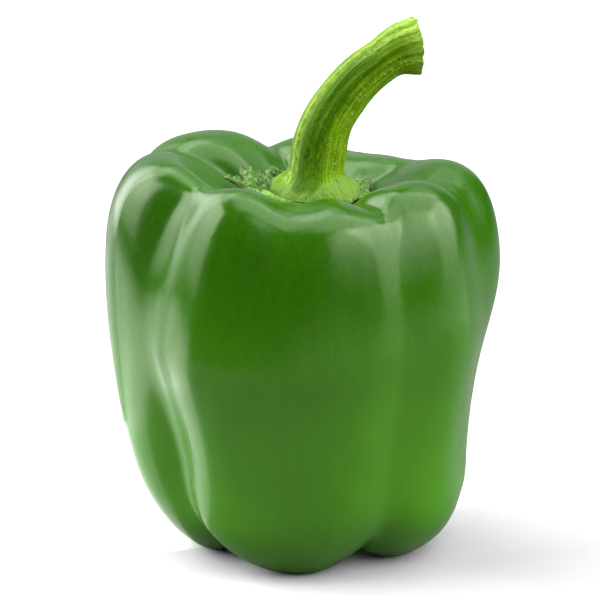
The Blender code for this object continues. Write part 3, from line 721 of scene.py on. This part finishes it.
def stalkFibre():
    fibre, tree, shader = newMaterial("fibrousStalk", stalk["shader"])
    grain = attributeSocket(tree, "grain", "Vector")
    threads = noiseMask(tree, grain, **stalk["threadNoise"])
    mottle = noiseMask(tree, grain, **stalk["mottleNoise"])
    fine = noiseMask(tree, grain, **stalk["fineNoise"])
    dashes = noiseMask(tree, grain, **stalk["dashNoise"])
    darkMottle = between(tree, mottle, 0, 1, *stalk["darkMottle"])
    darkShare = combine(tree, "MULTIPLY", attributeSocket(tree, "dark"), darkMottle)
    colour = paint(tree, stalk["midGreen"], stalk["darkGreen"], darkShare)
    threadAmount = combine(tree, "MULTIPLY", threads, stalk["threadShare"])
    colour = paint(tree, colour, stalk["darkGreen"], threadAmount)
    colour = paint(tree, colour, stalk["darkGreen"], attributeSocket(tree, "lines"))
    flecks = combine(tree, "MULTIPLY", dashes, attributeSocket(tree, "flecks"))
    colour = paint(tree, colour, stalk["paleGreen"], combine(tree, "MULTIPLY", flecks, stalk["fleckShare"]))
    skirtMottle = between(tree, fine, 0, 1, *stalk["skirtMottle"])
    skirt = combine(tree, "MULTIPLY", attributeSocket(tree, "skirt"), skirtMottle)
    colour = paint(tree, colour, stalk["skirtGreen"], skirt)
    # painted highlight: pale along the upper left edge and over the upper part, with pale streaks in it; the
    # cut end is paler too
    lightMottle = between(tree, mottle, 0, 1, *stalk["lightMottle"])
    lightShare = combine(tree, "MULTIPLY", attributeSocket(tree, "light"), lightMottle)
    colour = paint(tree, colour, stalk["paleGreen"], lightShare)
    streaks = combine(tree, "MULTIPLY", combine(tree, "MULTIPLY", fine, threads), lightShare)
    highlightStreakAmount = combine(tree, "MULTIPLY", streaks, stalk["streakShare"])
    colour = paint(tree, colour, stalk["highlightStreakGreen"], highlightStreakAmount)
    colour = paint(tree, colour, stalk["pith"], attributeSocket(tree, "cut"))
    tree.links.new(colour, shader.inputs["Base Color"])
    tree.links.new(between(tree, mottle, 0, 1, *stalk["roughness"]), shader.inputs["Roughness"])
    normal = addBump(tree, threads, *stalk["threadBump"])
    normal = addBump(tree, mottle, *stalk["mottleBump"], normal)
    normal = addBump(tree, fine, *stalk["fineBump"], normal)
    tree.links.new(normal, shader.inputs["Normal"])
    return fibre


def patch(twisted, height, look):
    # a strip along the stalk, with its share at each height
    turn, halfWidth, power, heights, shares = look
    return bump(turnBetween(twisted, turn), halfWidth, power) * easeBetween(heights, shares, height)


def buildStalk():
    distance, centre, radius, tangent, left, front = stalkPath(stalk["rings"])
    toCut = (distance[-1] - distance)[None, :]
    fromFoot = distance[None, :]
    height = fromFoot / distance[-1]
    columnTurns = np.linspace(0, 360, stalk["columns"], endpoint=False)
    turns = np.repeat(columnTurns[:, None], len(distance), axis=1)
    twisted = turns - stalk["twist"] * height
    grain = unrolled(twisted, fromFoot, stalk["grainRadius"])
    reach = np.repeat(radius[None, :], len(turns), axis=0)
    ribShare = easeBetween(*stalk["ribStart"], fromFoot)
    for turn, ribHeight, halfWidth in stalk["ribs"]:
        reach += ribHeight * ribShare * bump(turnBetween(twisted, turn), halfWidth, stalk["ribPower"])
    reach += unevenness(grain, stalk["threads"]) + unevenness(grain, stalk["gnarls"])
    for buttress in stalk["buttresses"]:
        share = easeBetween([0, *buttress["reach"]], stalk["buttressShares"], fromFoot)
        around = bump(turnBetween(turns, buttress["turn"]), buttress["halfTurn"], stalk["buttressPower"])
        reach += buttress["height"] * share * around
    for swelling in stalk["swellings"]:
        share = easeBetween([0, *swelling["reach"]], stalk["swellingShares"], toCut)
        reach += swelling["height"] * share * bump(turnBetween(turns, swelling["turn"]), swelling["halfTurn"])
    # the pale skirt round the foot ends in a low step
    ringPoints = unrolled(turns, 0, stalk["grainRadius"])
    marks, heights = np.array(stalk["skirt"], float).T
    skirtHeight = easeBetween(marks, heights, turns) + unevenness(ringPoints, stalk["skirtEdge"])
    skirt = easeBetween(stalk["skirtStep"], [1, 0], fromFoot - skirtHeight)
    reach += stalk["skirtRise"] * skirt + skirt * unevenness(grain, stalk["skirtLumps"])
    turn = np.radians(turns)
    slant = stalk["slant"]
    slide = sum(unevenness(ringPoints, look) for look in stalk["cutLumps"])
    slide = slide - slant["height"] * bump(turnBetween(turns, slant["turn"]), slant["halfTurn"])
    slide = slide * easeBetween([0, stalk["cutReach"]], [1, 0], toCut)
    way = left[None] * np.cos(turn)[..., None] + front[None] * np.sin(turn)[..., None]
    side = centre[None] + way * reach[..., None] + tangent[None] * slide[..., None]
    # the cut face: a worn rim, then a shallow dish of pith
    shares, worn = np.array(stalk["faceShares"]), stalk["wornRim"]
    raisedRim = worn["height"] * bump(shares - worn["share"], worn["halfWidth"])
    dish = stalk["hollow"] * (1 - shares ** 3) - raisedRim
    end, endReach, endSlide = centre[-1], reach[:, -1], slide[:, -1]
    face = (end + way[:, -1, None] * (endReach[:, None] * shares)[..., None]
            + tangent[-1] * (endSlide[:, None] * shares ** 2 - dish)[..., None])
    roughness = unevenness(face, stalk["faceLumps"]) * np.clip(shares * stalk["faceLumpsFull"], 0, 1)
    face = face + roughness[..., None] * tangent[-1] * (shares > 0)[:, None]
    foot = np.repeat(centre[None, :1], len(turns), axis=0)
    points = np.concatenate([foot, side, face], axis=1) + fruitPlace()

    tip = easeBetween([0, stalk["tipReach"]], [1, 0], toCut)
    # painted highlight along the upper left edge and over the upper part
    edgeLight, upperLight = (patch(twisted, height, stalk[strip]) for strip in ("edgeLight", "upperLight"))
    edgeLight = np.maximum(edgeLight, upperLight)
    look = stalk["lineLook"]
    lines = sum(bump(turnBetween(twisted, at), look["halfWidth"])
                * easeBetween([start, start + look["fadeIn"], look["fadeOut"], 1], look["shares"], height)
                for at, start in stalk["lines"])
    looks = {
        "dark": (patch(twisted, height, stalk["band"]), 0),
        "lines": (lines * look["amount"], 0),
        "skirt": (skirt, 0),
        "light": (np.clip(edgeLight * (1 - skirt) + stalk["tipLight"] * tip, 0, 1), 0),
        "flecks": (patch(twisted, height, stalk["fleckBand"]), 0),
        "cut": (0 * turns, stalk["cutAmount"]),
    }
    ends = len(shares)
    looks = {label: np.concatenate([values[:, :1], values, np.full((len(turns), ends), atFace)], axis=1)
             for label, (values, atFace) in looks.items()}
    grainOnFace = np.repeat(grain[:, -1:], ends, axis=1) * shares[:, None]
    looks["grain"] = np.concatenate([grain[:, :1], grain, grainOnFace], axis=1)
    piece = gridMesh("stalk", points, looks, stalkFibre())
    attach(piece, "root")
    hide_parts("stem")
    print("stalk:", len(stalk["ribs"]), "ribs,", len(piece.data.vertices), "points")
    return piece


# A softbox fills a window as the fruit sees it: from one bearing to another, and from one elevation
# to another. brightness 1 is the white of the paper. Each stands "distance" metres from the fruit.
# foot and ends are how bright it is along its lower edge, and at its two ends, beside its middle.
studio = {
    "softboxes": [
        {"name": "leftSoftbox", "bearings": (-119, -60), "rises": (6, 54), "distance": 0.85,
         "brightness": 9.0, "foot": 0.35, "ends": (0.60, 1.0)},
        {"name": "leftRearSoftbox", "bearings": (-154, -118), "rises": (-8, 48), "distance": 0.85,
         "brightness": 5.8, "foot": 0.8, "ends": (0.4, 1.0)},
        {"name": "leftTopSoftbox", "bearings": (-178, -106), "rises": (50, 70), "distance": 1.0,
         "brightness": 5.6, "ends": (0.55, 1.0)},
        {"name": "rightSoftbox", "bearings": (60, 110), "rises": (-2, 55), "distance": 0.80,
         "brightness": 7.6, "foot": 0.22, "ends": (0.85, 1.0)},
        {"name": "rightFillSoftbox", "bearings": (9, 62), "rises": (9, 60), "distance": 1.1,
         "brightness": 5.2, "foot": 0.15, "ends": (0.4, 1.0)},
        {"name": "rearSoftbox", "bearings": (126, 184), "rises": (42, 64), "distance": 1.6,
         "brightness": 1.3},
        {"name": "backSoftbox", "bearings": (152, 206), "rises": (0, 42), "distance": 1.6,
         "brightness": 0.5},
        {"name": "overheadSoftbox", "bearings": (-180, 180), "rises": (65, 90), "distance": 1.0,
         "brightness": 3.9},
    ],
    "aimHeight": 0.05,
    "overhead": {"bearing": 95, "tilt": 12},
    "footReach": 0.7,               # how far up a softbox its foot's dimness reaches
    "roomLight": 0.03,
    "paperRoughness": 0.9,
    "floorSize": 6.0,
    "floorColour": (0.86, 0.86, 0.86),
    # a pale wall all round, only for the camera
    "wall": {"radius": 0.95, "height": 1.6, "brightness": 1.0, "sides": 96},
    # cloths lie on the floor all round the fruit, hidden from the camera: from one bearing to another,
    # from one distance to another, and how pale each is
    "clothPoints": 7,
    "cloths": [
        (-71, -12, 0.02, 0.23, 0.24), (-12, 60, 0.02, 0.23, 0.22), (60, 118, 0.02, 0.23, 0.18),
        (-71, -12, 0.23, 1.5, 0.03), (-12, 60, 0.23, 1.5, 0.26), (60, 118, 0.23, 1.5, 0.36),
        (118, 205, 0.05, 1.5, 0.12), (205, 246, 0.09, 1.5, 0.28),
    ],
    # a lit panel on the floor at the left, hidden too
    "floorPanel": {"middle": (-0.25, -0.03), "size": (0.34, 0.12), "brightness": 1.6},
    "clearance": 0.0005,
}


def aimed(thing, at, target):
    thing.location = at
    thing.rotation_euler = (Vector(target) - Vector(at)).to_track_quat("-Z", "Y").to_euler()
    bpy.context.scene.collection.objects.link(thing)


def aroundFruit(bearing, elevation, distance, height):
    turn, rise = math.radians(bearing), math.radians(elevation)
    return (distance * math.sin(turn) * math.cos(rise), -distance * math.cos(turn) * math.cos(rise),
            height + distance * math.sin(rise))


def flatPanel(name, corners, height, colour):
    # a level sheet through these corners
    mesh = bpy.data.meshes.new(name)
    mesh.from_pydata([(x, y, height) for x, y in corners], [], [tuple(range(len(corners)))])
    look = {"Base Color": (*colour, 1), "Roughness": studio["paperRoughness"]}
    paper, _, _ = newMaterial(name + "Paper", look)
    mesh.materials.append(paper)
    sheet = bpy.data.objects.new(name, mesh)
    bpy.context.scene.collection.objects.link(sheet)
    return sheet


def newSoftbox(name, size, brightness, foot=1.0, ends=(1.0, 1.0)):
    light = bpy.data.lights.new(name, "AREA")
    light.shape = "RECTANGLE"
    light.size, light.size_y = size
    light.energy = brightness * math.pi * size[0] * size[1]
    light.use_nodes = True
    tree = light.node_tree
    across = addNode(tree, "SeparateXYZ")
    tree.links.new(addNode(tree, "NewGeometry").outputs["Parametric"], across.inputs[0])
    share = between(tree, across.outputs[1], 0, studio["footReach"], foot, 1)
    middle = 0.5
    for edge, end in zip((0, 1), ends):
        share = combine(tree, "MULTIPLY", share, between(tree, across.outputs[0], edge, middle, end, 1))
    tree.links.new(share, tree.nodes["Emission"].inputs["Strength"])
    held = bpy.data.objects.new(name, light)
    held.visible_camera = False
    return held


def softboxWindow(box):
    # where a softbox stands, and its width and height, so that it fills its window
    (fromBearing, toBearing), (low, high), away = box["bearings"], box["rises"], box["distance"]
    straightUp, overhead = 90, studio["overhead"]
    if high == straightUp:
        bearing, rise = overhead["bearing"], straightUp - overhead["tilt"]
        width = depth = 2 * away * math.tan(math.radians(high - low))
    else:
        bearing, rise = (fromBearing + toBearing) / 2, (low + high) / 2
        halfTurn = math.radians(toBearing - fromBearing) / 2
        width = 2 * away * math.tan(halfTurn) * math.cos(math.radians(rise))
        depth = 2 * away * math.tan(math.radians(high - low) / 2)
    return aroundFruit(bearing, rise, away, studio["aimHeight"]), (width, depth)


def buildStudio():
    for box in studio["softboxes"]:
        at, size = softboxWindow(box)
        foot, ends = box.get("foot", 1), box.get("ends", (1, 1))
        aimed(newSoftbox(box["name"], size, box["brightness"], foot, ends), at, (0, 0, studio["aimHeight"]))
    world = bpy.data.worlds.new("room")
    world.use_nodes = True
    world.node_tree.nodes["Background"].inputs["Color"].default_value = (1, 1, 1, 1)
    world.node_tree.nodes["Background"].inputs["Strength"].default_value = studio["roomLight"]
    bpy.context.scene.world = world
    bpy.context.scene.view_settings.view_transform = "Standard"
    half = studio["floorSize"] / 2
    flatPanel("floor", [(-half, -half), (half, -half), (half, half), (-half, half)], 0, studio["floorColour"])
    wall = studio["wall"]
    bpy.ops.mesh.primitive_cylinder_add(vertices=wall["sides"], radius=wall["radius"], depth=wall["height"],
                                        end_fill_type="NOTHING", location=(0, 0, wall["height"] / 2))
    backdrop = bpy.context.object
    backdrop.name = "backdrop"
    paper, _, _ = newMaterial("backdropPaper", {
        "Base Color": (0, 0, 0, 1), "Emission Color": (1, 1, 1, 1), "Emission Strength": wall["brightness"],
    })
    backdrop.data.materials.append(paper)
    backdrop.visible_diffuse = backdrop.visible_glossy = backdrop.visible_shadow = False
    panel = studio["floorPanel"]
    at = (*panel["middle"], studio["clearance"])
    aimed(newSoftbox("floorPanel", panel["size"], panel["brightness"]), at, (at[0], at[1], 1))
    for start, end, near, far, pale in studio["cloths"]:
        turns = np.radians(np.linspace(start, end, studio["clothPoints"]))
        inside = [(near * math.sin(turn), -near * math.cos(turn)) for turn in turns[::-1]]
        outside = [(far * math.sin(turn), -far * math.cos(turn)) for turn in turns]
        name = "cloth" + str(round(pale * 100))    # how pale it is, in per cent
        sheet = flatPanel(name, outside + inside, studio["clearance"], (pale,) * 3)
        sheet.visible_camera = sheet.visible_shadow = False
    print("studio:", len(studio["softboxes"]), "softboxes and a floor")


camera = {
    "distance": 0.60,
    "elevation": 16.0,
    "aimShare": 0.469,
    "aimX": -0.0006,
    "widthShare": 1.531,
    "sensor": 36.0,
}


def buildCamera():
    low, high = Vector(cadBox[0]), Vector(cadBox[1])
    target = (camera["aimX"], 0, low.z + camera["aimShare"] * (high.z - low.z))
    view = bpy.data.cameras.new("camera")
    view.sensor_width = camera["sensor"]
    view.lens = camera["sensor"] * camera["distance"] / (camera["widthShare"] * (high.x - low.x))
    held = bpy.data.objects.new("camera", view)
    back = aroundFruit(0, camera["elevation"], camera["distance"], target[2])
    aimed(held, Vector(back) + Vector((camera["aimX"], 0, 0)), target)
    bpy.context.scene.camera = held
    print("camera:", round(view.lens), "mm lens")


buildFruit()
buildCalyx()
buildStalk()
buildStudio()
buildCamera()

bpy.context.view_layer.update()
